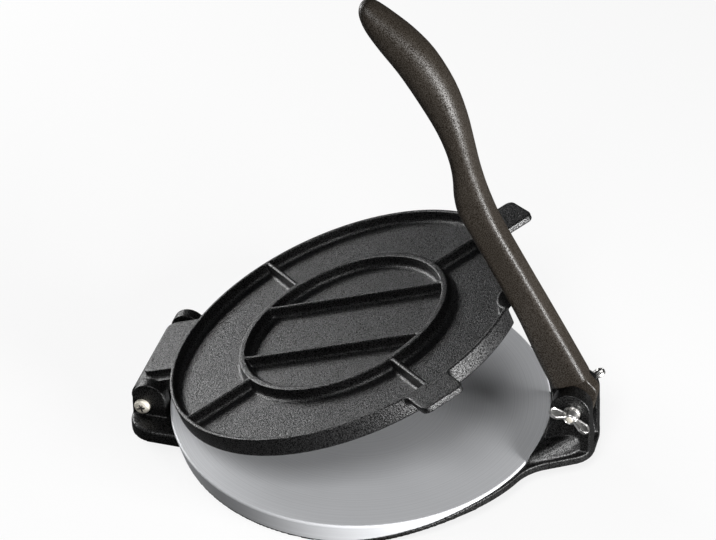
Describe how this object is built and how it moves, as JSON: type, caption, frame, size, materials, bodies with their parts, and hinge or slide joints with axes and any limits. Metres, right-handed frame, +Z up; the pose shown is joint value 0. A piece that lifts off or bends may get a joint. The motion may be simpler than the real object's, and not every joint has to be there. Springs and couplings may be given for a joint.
{
  "type": "tortilla press",
  "caption": "Cast tortilla press: hinged round lid, bright pressing plate on a black base, curved lever on a wing-nut pivot.",
  "frame": {"origin": "middle of the object's footprint, on the table", "axes": "+X from the lid hinge to the lever, +Y across, +Z up"},
  "size_m": [0.332, 0.271, 0.3483],
  "materials": {
    "black_casting": "satin black coated casting",
    "lid_casting": "fine-grained black coated casting",
    "lever_casting": "brownish black coated casting",
    "pressing_plate": "machined",
    "zinc_steel": "zinc-plated"
  },
  "bodies": {
    "base": {"base_frame": "black_casting", "lower_platen": "pressing_plate", "platen_screws": "zinc_steel", "hinge_screw": "zinc_steel", "hinge_nut_washer": "zinc_steel", "hinge_lock_nut": "zinc_steel", "lever_wing_bolt": "zinc_steel", "lever_bolt_washer": "zinc_steel", "lever_nut_washer": "zinc_steel", "lever_spring_washer": "zinc_steel"},
    "lid": {"lid": "lid_casting"},
    "lever": {"lever": "lever_casting"},
    "wing_nut": {"lever_wing_nut": "zinc_steel"}
  },
  "joints": [
    {"name": "lid_hinge", "type": "hinge", "parent": "base", "child": "lid", "pos_m": [-0.154, 0, 0.0172], "axis": [0, -1, 0], "range_deg": [-20.8, 79.2]},
    {"name": "lever_pivot", "type": "hinge", "parent": "base", "child": "lever", "pos_m": [0.1508, 0, 0.0516], "axis": [0, 1, 0], "range_deg": [-2, 110]},
    {"name": "wing_nut_turn", "type": "hinge", "parent": "base", "child": "wing_nut", "pos_m": [0.1508, -0.022, 0.0516], "axis": [0, 1, 0], "continuous": true}
  ]
}
